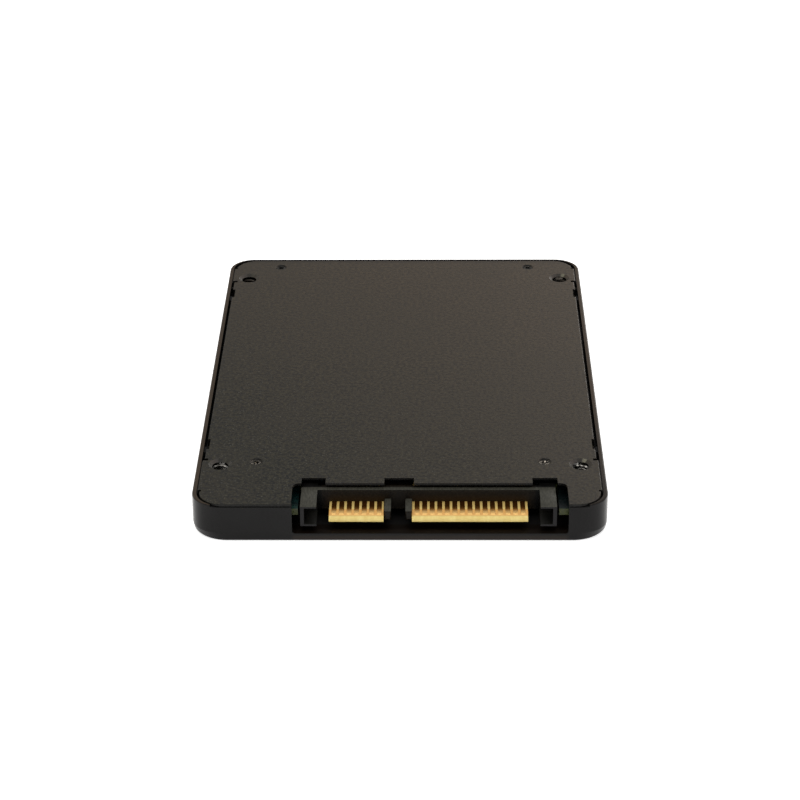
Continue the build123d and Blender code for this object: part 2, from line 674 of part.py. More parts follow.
def build_drive():
    """Every node of the drive, by name."""
    nodes = {"case_shell": case_shell(), "base_plate": base_plate()}
    for side, _, distance, inward in hole_places():
        end_name = "front" if inward == 1 else "rear"
        side_name = "right" if side == 1 else "left"
        name = f"mounting_block_{end_name}_{side_name}"
        nodes[name] = mounting_block(side, distance, inward)
    nodes["cover_screws"] = Compound(children=[cover_screw(side * COVER_SCREW_X, distance)
                                               for side in BOTH_SIDES
                                               for distance in COVER_SCREW_ALONG])
    nodes["board_screws"] = Compound(children=[board_screw(side * BOARD_SCREW_X, distance)
                                               for side in BOTH_SIDES
                                               for distance in BOARD_SCREW_ALONG])
    nodes.update(build_connector())
    nodes.update(build_components())
    nodes["insulating_film"] = insulating_film()
    nodes["thermal_pad"] = thermal_pad()
    nodes["underside_label"] = underside_label()
    return nodes


os.makedirs("parts", exist_ok=True)
drive = build_drive()
for node_name, node_shape in drive.items():
    export_step(node_shape, f"parts/{node_name}.step")
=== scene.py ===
import json
import math
import random

import bmesh
import bpy
from mathutils import Matrix, Vector


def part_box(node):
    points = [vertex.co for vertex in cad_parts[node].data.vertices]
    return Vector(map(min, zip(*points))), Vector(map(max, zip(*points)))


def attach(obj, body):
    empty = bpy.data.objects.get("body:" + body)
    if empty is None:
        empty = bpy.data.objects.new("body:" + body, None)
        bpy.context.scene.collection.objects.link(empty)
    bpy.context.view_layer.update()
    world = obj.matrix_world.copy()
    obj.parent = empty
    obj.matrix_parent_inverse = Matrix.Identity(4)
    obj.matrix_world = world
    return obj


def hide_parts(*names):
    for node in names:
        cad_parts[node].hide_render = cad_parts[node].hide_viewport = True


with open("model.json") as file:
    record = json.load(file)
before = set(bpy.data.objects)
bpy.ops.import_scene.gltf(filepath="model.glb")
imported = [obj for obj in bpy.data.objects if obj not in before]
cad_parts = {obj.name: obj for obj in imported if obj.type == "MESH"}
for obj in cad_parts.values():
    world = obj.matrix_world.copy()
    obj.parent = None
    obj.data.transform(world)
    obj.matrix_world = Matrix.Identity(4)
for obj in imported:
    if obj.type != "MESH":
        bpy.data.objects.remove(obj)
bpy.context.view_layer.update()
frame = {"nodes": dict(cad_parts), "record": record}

MM = 0.001
nodes = frame["nodes"]
collection = bpy.context.scene.collection


def box_mm(node):
    """A CAD node's lowest and highest corners in mm, to the micrometre."""
    return [[round(place / MM, 3) for place in corner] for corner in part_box(node)]


# ------------------------------------------------------------------ places on the drive, in mm
mounts = {mount["name"]: mount for mount in frame["record"]["mounts"]}
M3_PATTERN = mounts["base_holes"]
M3_X = M3_PATTERN["dims"]["spacing_x_mm"] / 2
M3_MIDDLE_Y = round(M3_PATTERN["pos_m"][1] / MM, 3)
M3_HALF_Y = M3_PATTERN["dims"]["spacing_y_mm"] / 2
M3_ROWS = {"front": round(M3_MIDDLE_Y - M3_HALF_Y, 3), "rear": round(M3_MIDDLE_Y + M3_HALF_Y, 3)}
M3_SIDE_Z = round(mounts["side_holes_right"]["pos_m"][2] / MM, 3)
SIDES = {"left": -1, "right": 1}

CASE_FRONT_Y = box_mm("case_shell")[0][1]
HOUSING_LOW, HOUSING_HIGH = box_mm("connector_housing")
HOUSING_MIDDLE_X = (HOUSING_LOW[0] + HOUSING_HIGH[0]) / 2
SIGNAL_WAFER_LOW, SIGNAL_WAFER_HIGH = box_mm("signal_wafer")
POWER_WAFER_LOW, POWER_WAFER_HIGH = box_mm("power_wafer")

COVER_SCREW_X = 24.75
COVER_SCREW_ROWS = (-35.1, 45.8)
BOARD_SCREW_X = 29.2
BOARD_SCREW_ROWS = (-20.0, 24.0)

# ------------------------------------------------------------------ camera and stage, in mm
VIEW_AZIMUTH = math.radians(0.737)
VIEW_ELEVATION = math.radians(27.392)
VIEW_ROLL = math.radians(-0.360)
VIEW_DISTANCE = 452.32
VIEW_TARGET = Vector((0.0, 0.0, 3.5))
VIEW_OFFSET = (0.4388, 2.5000)
LENS = 110.08
SENSOR = 36.0
CLIP_START_M = 0.01
FLOOR_HALF_M = 3.0
FLOOR_DROP_M = 0.00002


def add_camera():
    """Camera at the photographed angle: azimuth 0 looks along +Y."""
    back = Vector((math.sin(VIEW_AZIMUTH) * math.cos(VIEW_ELEVATION),
                   -math.cos(VIEW_AZIMUTH) * math.cos(VIEW_ELEVATION),
                   math.sin(VIEW_ELEVATION)))
    right = Vector((math.cos(VIEW_AZIMUTH), math.sin(VIEW_AZIMUTH), 0.0))
    up = back.cross(right)
    c, s = math.cos(VIEW_ROLL), math.sin(VIEW_ROLL)
    right, up = c * right + s * up, c * up - s * right
    place = VIEW_TARGET - VIEW_OFFSET[0] * right - VIEW_OFFSET[1] * up + VIEW_DISTANCE * back
    data = bpy.data.cameras.new("view")
    data.lens = LENS
    data.sensor_width = SENSOR
    data.clip_start = CLIP_START_M
    camera = bpy.data.objects.new("view", data)
    turn = Matrix((right, up, back)).transposed().to_4x4()
    camera.matrix_world = Matrix.Translation(place * MM) @ turn
    collection.objects.link(camera)
    bpy.context.scene.camera = camera


def add_area_light(name, place_mm, aim_mm, size_mm, watts, colour):
    """Rectangular soft light that faces a point."""
    data = bpy.data.lights.new(name, "AREA")
    data.shape = "RECTANGLE"
    data.size, data.size_y = size_mm[0] * MM, size_mm[1] * MM
    data.energy = watts
    data.color = colour
    lamp = bpy.data.objects.new(name, data)
    place, aim = Vector(place_mm) * MM, Vector(aim_mm) * MM
    lamp.location = place
    lamp.rotation_euler = (aim - place).to_track_quat("-Z", "Y").to_euler()
    collection.objects.link(lamp)


def add_floor(material):
    """Large pale floor, a hair under the drive."""
    mesh = bpy.data.meshes.new("floor")
    half = FLOOR_HALF_M
    corners = [(-half, -half, 0), (half, -half, 0), (half, half, 0), (-half, half, 0)]
    mesh.from_pydata(corners, [], [(0, 1, 2, 3)])
    mesh.materials.append(material)
    floor = bpy.data.objects.new("floor", mesh)
    floor.location.z = -FLOOR_DROP_M
    collection.objects.link(floor)


# ------------------------------------------------------------------ procedural materials
X, Y, Z = 0, 1, 2


class Finish:
    """One Principled material, built node by node. Places and texture sizes are in mm.

    A mask is a value from 0 to 1. A span makes one from a place or a surface direction.
    """

    def __init__(self, name, colour, roughness, metallic=0.0, specular=0.5):
        self.material = bpy.data.materials.new(name)
        self.material.use_nodes = True
        self.tree = self.material.node_tree
        self.shader = self.tree.nodes["Principled BSDF"]
        self.put("Base Color", (*colour, 1.0))
        self.put("Roughness", roughness)
        self.put("Metallic", metallic)
        self.put("Specular IOR Level", specular)
        place = self.add("ShaderNodeTexCoord").outputs["Object"]
        self.mm = self.vector("MULTIPLY", place, (1 / MM, 1 / MM, 1 / MM))

    def add(self, kind, **settings):
        node = self.tree.nodes.new(kind)
        for key, value in settings.items():
            setattr(node, key, value)
        return node

    def feed(self, socket, value):
        """Links a socket, or sets a constant."""
        if isinstance(value, bpy.types.NodeSocket):
            self.tree.links.new(value, socket)
        elif isinstance(value, tuple) and len(value) == 3 and socket.type == "RGBA":
            socket.default_value = (*value, 1.0)
        else:
            socket.default_value = value

    def put(self, name, value):
        """Feeds one of the shader's own sockets."""
        self.feed(self.shader.inputs[name], value)

    def vector(self, operation, a, b):
        node = self.add("ShaderNodeVectorMath", operation=operation)
        self.feed(node.inputs[0], a)
        self.feed(node.inputs[1], b)
        return node.outputs["Vector"]

    def math(self, operation, a, b=0.0):
        node = self.add("ShaderNodeMath", operation=operation)
        self.feed(node.inputs[0], a)
        self.feed(node.inputs[1], b)
        return node.outputs[0]

    def product(self, *masks):
        """Masks multiplied together. The last may be a strength, the same all over."""
        result = masks[0]
        for mask in masks[1:]:
            result = self.math("MULTIPLY", result, mask)
        return result

    def noise(self, per_mm, detail=2.0, stretch=(1.0, 1.0, 1.0), at=(0.0, 0.0, 0.0)):
        """Noise with about this many features to the millimetre."""
        place = self.vector("MULTIPLY", self.vector("ADD", self.mm, at), stretch)
        node = self.add("ShaderNodeTexNoise")
        self.feed(node.inputs["Vector"], place)
        node.inputs["Scale"].default_value = per_mm
        node.inputs["Detail"].default_value = detail
        return node.outputs["Fac"]

    def cell_edges(self, per_mm):
        """Distance to the nearest edge in a pattern of irregular cells."""
        node = self.add("ShaderNodeTexVoronoi", feature="DISTANCE_TO_EDGE")
        self.feed(node.inputs["Vector"], self.mm)
        node.inputs["Scale"].default_value = per_mm
        return node.outputs["Distance"]

    def span(self, value, low, high, out_low=0.0, out_high=1.0):
        """Value stretched from one range to another, and held at the ends."""
        node = self.add("ShaderNodeMapRange", clamp=True)
        self.feed(node.inputs["Value"], value)
        node.inputs["From Min"].default_value = low
        node.inputs["From Max"].default_value = high
        node.inputs["To Min"].default_value = out_low
        node.inputs["To Max"].default_value = out_high
        return node.outputs["Result"]

    def blend(self, factor, a, b):
        """Colour a where the factor is 0, b where it is 1."""
        node = self.add("ShaderNodeMix", data_type="RGBA")
        self.feed(node.inputs["Factor"], factor)
        self.feed(node.inputs[6], a)
        self.feed(node.inputs[7], b)
        return node.outputs[2]

    def axis(self, index):
        """Place along X, Y or Z in mm."""
        node = self.add("ShaderNodeSeparateXYZ")
        self.feed(node.inputs[0], self.mm)
        return node.outputs[index]

    def facing(self, index):
        """X, Y or Z of the surface direction."""
        node = self.add("ShaderNodeSeparateXYZ")
        self.feed(node.inputs[0], self.add("ShaderNodeNewGeometry").outputs["Normal"])
        return node.outputs[index]

    def either_way(self, value):
        """The value without its sign."""
        return self.math("ABSOLUTE", value)

    def from_x(self, middle):
        """Distance to the left or right of a place, in mm."""
        return self.either_way(self.math("ADD", self.axis(X), -middle))

    def bump(self, height, depth_mm, strength):
        node = self.add("ShaderNodeBump")
        self.feed(node.inputs["Height"], height)
        node.inputs["Distance"].default_value = depth_mm * MM
        node.inputs["Strength"].default_value = strength
        self.put("Normal", node.outputs["Normal"])


def srgb(r, g, b):
    """Linear colour from 8-bit values."""
    return tuple(v / 12.92 if v <= 0.04045 else ((v + 0.055) / 1.055) ** 2.4
                 for v in (r / 255, g / 255, b / 255))


def plate_paint():
    """Fine powder coat, with painted light making it warmer and lighter towards the rear right.

    The ends that face forward or back carry painted shade. The flares round the holes carry painted
    shade, darker than the plate, with a pale painted highlight on their far side.
    """
    f = Finish("plate_paint", (0.02, 0.018, 0.016), 0.5, specular=0.20)
    grain = f.noise(1.7)
    cloud = f.noise(0.05, at=(7, 3, 0))
    fleck = f.span(f.noise(3.6, detail=1.0, at=(3, 9, 1)), 0.62, 0.76)
    light_reach = f.math("ADD", f.axis(Y), f.math("MULTIPLY", f.axis(X), 0.9))

    # Painted light: the front and rear tones make the paint darker at the front left and lighter
    # and warmer at the rear right.
    front_pits, front_tops = (0.0004, 0.0004, 0.0002), (0.0222, 0.0196, 0.0110)
    rear_pits, rear_tops = (0.0268, 0.0190, 0.0120), (0.0655, 0.0488, 0.0330)
    front_shade_tone = f.blend(f.span(grain, 0.36, 0.66), front_pits, front_tops)
    rear_light_tone = f.blend(f.span(grain, 0.30, 0.72), rear_pits, rear_tops)
    base = f.blend(f.span(light_reach, -55.0, 75.0), front_shade_tone, rear_light_tone)
    base = f.blend(f.span(cloud, 0.3, 0.7, 0.0, 0.30), base, (0.026, 0.0210, 0.0145))
    fleck = f.product(fleck, f.span(light_reach, 30.0, -50.0, 0.08, 0.72))
    base = f.blend(fleck, base, (0.080, 0.078, 0.066))

    # Painted shade: every sloping face, the flares among them, is darkened.
    flare = f.span(f.either_way(f.facing(Z)), 0.97, 0.90)
    base = f.blend(f.product(flare, 0.35), base, (0.010, 0.0085, 0.0065))
    # Painted highlights on the far side of the flares, stronger on the right hole, where the lights
    # catch the slope.
    far_side = f.product(flare, f.span(f.facing(Y), -0.08, -0.22))
    painted_highlight = f.product(far_side, f.span(f.facing(X), -0.07, -0.17),
                     f.span(f.facing(X), -0.36, -0.28), f.span(f.axis(X), -20.0, 20.0, 0.12, 0.85))
    base = f.blend(painted_highlight, base, (0.200, 0.190, 0.135))
    painted_glint = f.product(far_side, f.span(f.facing(X), 0.10, 0.22, 0.0, 0.5))
    base = f.blend(painted_glint, base, (0.085, 0.072, 0.066))

    # Painted shade: a dark band along the plate's rear edge.
    rear_edge_shade = f.span(f.axis(Y), 47.5, 48.7, 0.0, 0.42)
    base = f.blend(rear_edge_shade, base, (0.006, 0.0055, 0.0045))
    # Painted shade: faces that look forward or back, the cut ends among them, are near black.
    shaded_cut_face = f.span(f.either_way(f.facing(Y)), 0.35, 0.75)
    f.put("Base Color", f.blend(shaded_cut_face, base, (0.0022, 0.0020, 0.0016)))
    f.put("Roughness", f.span(grain, 0.3, 0.7, 0.38, 0.60))
    f.bump(grain, 0.035, 0.9)
    return f.material


def case_plastic():
    """Black moulded plastic with a fine spark texture.

    Painted warm light browns the tops of the rim and the sill. The front lip below the connector is
    tinted warm brown, painted shade browns the shelf under the connector, and the left and right
    sides are glossier.
    """
    f = Finish("case_plastic", (0.004, 0.004, 0.004), 0.5, specular=0.12)
    grain = f.noise(7.0)
    smear = f.noise(0.12, detail=3.0, stretch=(1.0, 0.5, 1.5), at=(2, 5, 8))
    grainy = f.span(grain, 0.3, 0.7)
    cool = f.blend(grainy, (0.0038, 0.0036, 0.0037), (0.0078, 0.0074, 0.0074))
    warm = f.blend(grainy, (0.032, 0.0215, 0.0130), (0.060, 0.0425, 0.0270))
    brown_shade = f.blend(grainy, (0.0006, 0.0003, 0.0001), (0.0060, 0.0026, 0.0008))

    # Painted warm light: upward faces of the rim and the sill take the warm colour, less towards
    # the front right and none on the rim's rear edge.
    upward = f.span(f.facing(Z), 0.35, 0.9)
    front_right = f.math("SUBTRACT", f.axis(Y), f.axis(X))
    rim = f.product(f.span(f.axis(Z), 6.55, 6.75), f.span(f.axis(Y), 49.3, 48.9, 0.0, 0.75),
                    f.span(front_right, -45.0, -76.0, 1.0, 0.35))
    sill = f.product(f.span(f.axis(Y), -48.4, -48.8), f.span(f.axis(Z), 1.9, 1.6, 0.0, 0.06))
    painted_warm_light = f.product(upward, f.math("MAXIMUM", rim, sill))
    # The front lip below the connector opening is tinted the same warm brown.
    lip = f.product(f.span(f.axis(Z), 1.2, 0.9), f.span(f.facing(Y), -0.2, -0.8, 0.0, 0.20),
                    f.span(f.from_x(5.1), 23.4, 22.6))
    tone = f.blend(f.math("MAXIMUM", painted_warm_light, lip), cool, warm)
    # Painted shade: the upward shelf under the tongues is darker and brownish.
    shelf_shade = f.product(f.span(f.axis(Y), -46.0, -46.4), f.span(f.axis(Z), 2.3, 1.9), upward)
    f.put("Base Color", f.blend(shelf_shade, tone, brown_shade))

    sheen = f.span(f.either_way(f.facing(X)), 0.60, 0.95, 0.0, -0.27)
    f.put("Roughness", f.math("ADD", f.span(smear, 0.3, 0.7, 0.42, 0.58), sheen))
    f.bump(grain, 0.008, 0.5)
    return f.material


def connector_plastic():
    """Black glass-filled moulding: short fibres and dull flow marks.

    Its tops carry painted light, its guide channels painted shade, and its back wall a painted
    brown reflection above the contacts.
    """
    f = Finish("connector_plastic", (0.008, 0.0075, 0.007), 0.42, specular=0.11)
    fibre = f.noise(4.0, stretch=(1.0, 0.25, 1.0))
    flow = f.noise(0.5, at=(4, 1, 0))
    fibrous = f.span(fibre, 0.35, 0.7)
    dark = f.blend(fibrous, (0.0030, 0.0021, 0.0011), (0.0085, 0.0060, 0.0034))
    painted_top_light = f.blend(fibrous, (0.030, 0.0295, 0.0238), (0.050, 0.0490, 0.0400))

    # Painted shade: outside the middle span, on the guide posts and in their channels, the moulding
    # is near black.
    between_posts = f.span(f.from_x(HOUSING_MIDDLE_X), 18.2, 17.8)
    dark = f.blend(between_posts, (0.0008, 0.0007, 0.0006), dark)
    # Painted reflection: the back wall above each tongue is brown, standing in for the gold
    # contacts mirrored in it.
    over_signal = f.span(f.from_x(-7.3), 5.6, 4.2)
    over_power = f.span(f.from_x(11.8), 10.6, 9.2)
    gold_reflection_wall = f.product(f.span(f.axis(Y), -44.5, -44.0), f.span(f.facing(Y), -0.5, -0.9),
                          f.span(f.axis(Z), 5.4, 4.3, 0.0, 0.8),
                          f.math("MAXIMUM", over_signal, over_power))
    dark = f.blend(gold_reflection_wall, dark, (0.0210, 0.0110, 0.0035))

    # Painted light: level tops are much lighter, less so low down, and not at the rear of the roof,
    # where the plate shades it.
    lit_tops = f.product(f.span(f.facing(Z), 0.75, 0.95), f.span(f.axis(Z), 3.6, 4.2, 0.15, 1.0),
                     f.span(f.axis(Y), -42.5, -42.8))
    tone = f.blend(lit_tops, dark, painted_top_light)
    # Painted light: the fronts of the guide posts are a lighter, cooler grey.
    lit_post_fronts = f.product(f.span(f.axis(Y), -48.9, -49.25), f.span(f.facing(Y), -0.5, -0.9))
    f.put("Base Color", f.blend(lit_post_fronts, tone, (0.0105, 0.0100, 0.0105)))
    f.put("Roughness", f.span(flow, 0.3, 0.7, 0.36, 0.52))
    f.bump(fibre, 0.008, 0.6)
    return f.material


def wafer_plastic():
    """Natural coloured tongue moulding, amber behind its nose, painted browner as shade towards its
    root.
    """
    f = Finish("wafer_plastic", srgb(232, 208, 140), 0.42, specular=0.45)
    flow = f.noise(0.9, detail=3.0, stretch=(1.6, 0.5, 0.5))
    fine = f.noise(6.0)
    tone = f.blend(f.span(flow, 0.3, 0.7), srgb(205, 180, 104), srgb(217, 199, 126))
    band = f.product(f.span(f.axis(Y), -48.0, -47.8), f.span(f.axis(Y), -45.9, -46.3), 0.85)
    tone = f.blend(band, tone, srgb(205, 148, 76))
    # Painted shade: the tongue browns towards its root, under the housing's roof.
    root = f.span(f.axis(Y), -46.6, -45.0, 0.0, 0.48)
    tone = f.blend(root, tone, srgb(120, 88, 46))
    speckle = f.span(fine, 0.35, 0.75, 0.0, 0.25)
    f.put("Base Color", f.blend(speckle, tone, srgb(188, 156, 88)))
    f.put("Roughness", f.span(fine, 0.3, 0.7, 0.36, 0.5))
    f.bump(fine, 0.006, 0.5)
    return f.material


def contact_gold():
    """Plated strip with fine lengthwise rolling marks: painted reflection dark brown at its root,
    gold at its tip.
    """
    f = Finish("contact_gold", (0.80, 0.48, 0.17), 0.2, metallic=0.82)
    lines = f.noise(9.0, stretch=(1.0, 0.04, 1.0))
    patch = f.noise(1.3, at=(5, 2, 1))
    # Painted reflection: the flat part is brown, and near black at the root, where it mirrors the
    # dark roof; only the bent tip shows the gold.
    brown_shade = f.blend(f.span(patch, 0.35, 0.65), (0.30, 0.115, 0.016), (0.38, 0.165, 0.030))
    root = f.span(f.axis(Y), -46.3, -45.0, 0.0, 0.88)
    brown_shade = f.blend(root, brown_shade, (0.080, 0.026, 0.004))
    tip = f.span(f.axis(Y), -46.1, -46.9)
    f.put("Base Color", f.blend(tip, brown_shade, (0.62, 0.385, 0.135)))
    matt_tip = f.span(f.axis(Y), -45.9, -46.7, 0.0, 0.20)
    f.put("Roughness", f.math("ADD", f.span(lines, 0.3, 0.7, 0.14, 0.22), matt_tip))
    f.bump(lines, 0.0008, 0.3)
    return f.material


def block_metal():
    """Turned zinc block: tool marks and stained plating, darker on the left as painted shade.

    Painted shade darkens all but the collar's end towards the rear, and beside the case's wall.
    """
    f = Finish("block_metal", (0.36, 0.35, 0.33), 0.24, metallic=1.0)
    marks = f.noise(6.0, stretch=(1.0, 1.0, 4.0))
    stain = f.noise(1.3, at=(1, 6, 2))
    stain_and_shade = (0.040, 0.038, 0.035)
    tone = f.blend(f.span(stain, 0.42, 0.58), stain_and_shade, (0.40, 0.39, 0.37))
    # Painted shade: the blocks darken towards the left, in the stain colour.
    tone = f.blend(f.span(f.axis(X), 20.0, -20.0, 0.0, 0.35), tone, stain_and_shade)
    outward = f.either_way(f.axis(X))
    inside = f.span(outward, 34.3, 34.1)
    # Painted shade: darker towards the rear.
    rear = f.product(f.span(f.axis(Y), -20.0, 20.0, 0.0, 0.94), inside)
    tone = f.blend(rear, tone, (0.028, 0.024, 0.020))
    # Painted shade: near black beside the case's wall.
    wall_shade = f.product(f.span(outward, 32.5, 32.7), inside)
    f.put("Base Color", f.blend(wall_shade, tone, (0.012, 0.011, 0.010)))
    f.put("Roughness", f.span(marks, 0.3, 0.7, 0.16, 0.34))
    f.bump(marks, 0.006, 0.5)
    return f.material


def screw_metal():
    """Dark plated screw, bright with driver wear and painted glints, less so at the rear as painted
    shade.
    """
    f = Finish("screw_metal", (0.10, 0.09, 0.08), 0.3, metallic=1.0)
    # Driver wear and painted glints: bright patches, fewer towards the rear as painted shade.
    wear_and_glints = f.product(f.noise(4.0, detail=3.0), f.span(f.axis(Y), -20.0, 20.0, 1.0, 0.86))
    plated, touched_and_glint = (0.020, 0.018, 0.016), (0.50, 0.44, 0.36)
    f.put("Base Color", f.blend(f.span(wear_and_glints, 0.50, 0.66), plated, touched_and_glint))
    f.put("Roughness", f.span(wear_and_glints, 0.3, 0.7, 0.45, 0.22))
    f.bump(wear_and_glints, 0.01, 0.6)
    return f.material


def board_screw_metal():
    """Bright zinc screw."""
    f = Finish("board_screw_metal", (0.55, 0.55, 0.56), 0.3, metallic=1.0)
    marks = f.noise(5.0, detail=3.0)
    f.put("Base Color", f.blend(f.span(marks, 0.3, 0.7), (0.40, 0.40, 0.42), (0.66, 0.66, 0.65)))
    f.put("Roughness", f.span(marks, 0.3, 0.7, 0.24, 0.42))
    f.bump(marks, 0.008, 0.5)
    return f.material


def board_laminate():
    """Glass laminate: bare resin and glass along the edge, dark solder mask on the faces.

    Painted shade darkens the mask towards the right; painted light makes it greener along the front
    edge.
    """
    f = Finish("board_laminate", (0.006, 0.04, 0.025), 0.3, specular=0.32)
    weave = f.noise(3.0, detail=1.0, stretch=(1.0, 1.0, 0.3))
    over_copper = f.span(f.cell_edges(0.9), 0.03, 0.07)
    mask = f.blend(over_copper, (0.0018, 0.0150, 0.0140), (0.0010, 0.0080, 0.0085))
    # Painted shade: the mask darkens towards the right.
    mask = f.blend(f.span(f.axis(X), 10.0, 20.0, 0.0, 0.8), mask, (0.0012, 0.0022, 0.0026))
    # Painted light: the mask is a lighter green along the front edge.
    light_reach = f.math("ADD", f.axis(Y), f.math("MULTIPLY", f.axis(X), 0.025))
    mask = f.blend(f.span(light_reach, -46.2, -47.3), mask, (0.0015, 0.026, 0.020))
    bare = f.blend(f.span(weave, 0.3, 0.7), (0.026, 0.033, 0.0025), (0.052, 0.063, 0.0060))
    face = f.span(f.either_way(f.facing(Z)), 0.5, 0.6)
    f.put("Base Color", f.blend(face, bare, mask))
    f.put("Roughness", f.span(weave, 0.3, 0.7, 0.26, 0.42))
    f.bump(over_copper, 0.012, 0.6)
    return f.material


def label_film():
    """Blank polyester label: silvery, with a faint brushed grain and scuffs."""
    f = Finish("label_film", (0.62, 0.62, 0.62), 0.42)
    brush = f.noise(2.0, detail=3.0, stretch=(0.05, 1.0, 1.0))
    scuff = f.noise(0.35, detail=4.0, at=(9, 4, 2))
    tone = f.blend(f.span(brush, 0.3, 0.7), (0.50, 0.50, 0.50), (0.60, 0.60, 0.59))
    f.put("Base Color", f.blend(f.span(scuff, 0.58, 0.75, 0.0, 0.35), tone, (0.38, 0.38, 0.38)))
    f.put("Roughness", f.span(scuff, 0.3, 0.7, 0.34, 0.52))
    f.bump(brush, 0.004, 0.4)
    return f.material


def floor_paint():
    """Matt white sweep that glows a little, so that it stays white under the soft light."""
    f = Finish("floor_paint", (0.93, 0.93, 0.93), 0.7, specular=0.2)
    mottle = f.span(f.noise(0.01), 0.3, 0.7)
    f.put("Base Color", f.blend(mottle, (0.925, 0.925, 0.925), (0.94, 0.94, 0.94)))
    f.put("Emission Color", (1.0, 1.0, 1.0))
    f.put("Emission Strength", 0.62)
    return f.material


def grained(name, dark, light, roughness, per_mm, metallic):
    """Plain material with grain in its colour, its gloss and its surface."""
    f = Finish(name, light, roughness, metallic)
    grain = f.noise(per_mm, detail=3.0)
    f.put("Base Color", f.blend(f.span(grain, 0.3, 0.7), dark, light))
    f.put("Roughness", f.span(grain, 0.3, 0.7, roughness - 0.08, roughness + 0.08))
    f.bump(grain, 0.01, 0.6)
    return f.material


FINISHES = {
    "case_plastic": case_plastic(),
    "plate_paint": plate_paint(),
    "block_metal": block_metal(),
    "screw_metal": screw_metal(),
    "board_screw_metal": board_screw_metal(),
    "board_laminate": board_laminate(),
    "connector_plastic": connector_plastic(),
    "wafer_plastic": wafer_plastic(),
    "contact_gold": contact_gold(),
    "label_film": label_film(),
}

# Slot: dark colour, light colour, roughness, grains to the mm, metallic
GRAINED_FINISHES = {
    "tab_tin": ((0.42, 0.42, 0.41), (0.62, 0.62, 0.60), 0.3, 3.0, 1.0),
    "chip_epoxy": ((0.008, 0.008, 0.008), (0.016, 0.016, 0.017), 0.5, 6.0, 0.0),
    "oscillator_lid": ((0.50, 0.49, 0.46), (0.68, 0.67, 0.64), 0.25, 3.0, 1.0),
    "fuse_ceramic": ((0.50, 0.47, 0.38), (0.62, 0.59, 0.50), 0.45, 3.0, 0.0),
    "inductor_ferrite": ((0.02, 0.02, 0.021), (0.05, 0.05, 0.052), 0.5, 3.0, 0.0),
    "tantalum_case": ((0.42, 0.24, 0.03), (0.55, 0.34, 0.05), 0.4, 3.0, 0.0),
    "capacitor_ceramic": ((0.20, 0.13, 0.08), (0.30, 0.21, 0.13), 0.4, 3.0, 0.0),
    "resistor_ceramic": ((0.012, 0.012, 0.013), (0.03, 0.03, 0.03), 0.3, 3.0, 0.0),
    "film_plastic": ((0.010, 0.010, 0.011), (0.020, 0.020, 0.021), 0.35, 1.5, 0.0),
    "pad_silicone": ((0.10, 0.18, 0.30), (0.16, 0.26, 0.40), 0.7, 4.0, 0.0),
}
for slot, numbers in GRAINED_FINISHES.items():
    FINISHES[slot] = grained(slot, *numbers)


# ------------------------------------------------------------------ mesh building, in mm
SHARP_ANGLE = math.radians(35.0)
SMOOTH_ANGLE = math.radians(24.0)
FLAT_ANGLE = math.radians(0.8)
JOIN_DISTANCE = 0.0005
TURN_STEPS = 40


def node_bmesh(name):
    """A CAD node's mesh in mm, with its split corners joined and its flat faces merged."""
    bm = bmesh.new()
    bm.from_mesh(nodes[name].data)
    bmesh.ops.scale(bm, vec=(1 / MM, 1 / MM, 1 / MM), verts=bm.verts)
    bmesh.ops.remove_doubles(bm, verts=bm.verts, dist=JOIN_DISTANCE)
    bmesh.ops.dissolve_limit(bm, angle_limit=FLAT_ANGLE, verts=bm.verts, edges=bm.edges)
    bmesh.ops.recalc_face_normals(bm, faces=bm.faces)
    return bm


def bevel(bm, edges, width, segments):
    """Cuts these edges back by this width, flat with one segment and rounder with more."""
    bmesh.ops.bevel(bm, geom=edges, offset=width, offset_type="OFFSET", segments=segments,
                    profile=0.5, affect="EDGES", clamp_overlap=True)


def soften(bm, width):
    """Rounds every sharp edge by this width."""
    sharp = [e for e in bm.edges
             if len(e.link_faces) == 2 and e.calc_face_angle(0.0) > SHARP_ANGLE]
    bevel(bm, sharp, width, 2)
    return bm


def lathe(profile):
    """Closed solid turned round Z from (radius, z) points, both ends on the axis."""
    bm = bmesh.new()
    rings = []
    turns = [2 * math.pi * k / TURN_STEPS for k in range(TURN_STEPS)]
    for radius, z in profile:
        if radius == 0.0:
            rings.append([bm.verts.new((0.0, 0.0, z))])
        else:
            rings.append([bm.verts.new((radius * math.cos(t), radius * math.sin(t), z))
                          for t in turns])
    for low, high in zip(rings, rings[1:]):
        for k in range(TURN_STEPS):
            n = (k + 1) % TURN_STEPS
            face = [low[k % len(low)], low[n % len(low)], high[n % len(high)], high[k % len(high)]]
            bm.faces.new(list(dict.fromkeys(face)))
    bmesh.ops.recalc_face_normals(bm, faces=bm.faces)
    return bm


def block_bmesh(low, high, top_scale=1.0):
    """Box between two corners, its top scaled about its middle."""
    bm = bmesh.new()
    bmesh.ops.create_cube(bm, size=1.0)
    size = [h - l for l, h in zip(low, high)]
    middle = [(h + l) / 2 for l, h in zip(low, high)]
    for v in bm.verts:
        grow = top_scale if v.co.z > 0 else 1.0
        v.co = Vector((middle[0] + v.co.x * size[0] * grow,
                       middle[1] + v.co.y * size[1] * grow,
                       middle[2] + v.co.z * size[2]))
    return bm


def moved(bm, matrix):
    bmesh.ops.transform(bm, matrix=matrix, verts=bm.verts)
    return bm


def joined(parts):
    """One bmesh that holds them all. The parts are used up."""
    whole = bmesh.new()
    for part in parts:
        mesh = bpy.data.meshes.new("part")
        part.to_mesh(mesh)
        part.free()
        whole.from_mesh(mesh)
        bpy.data.meshes.remove(mesh)
    return whole


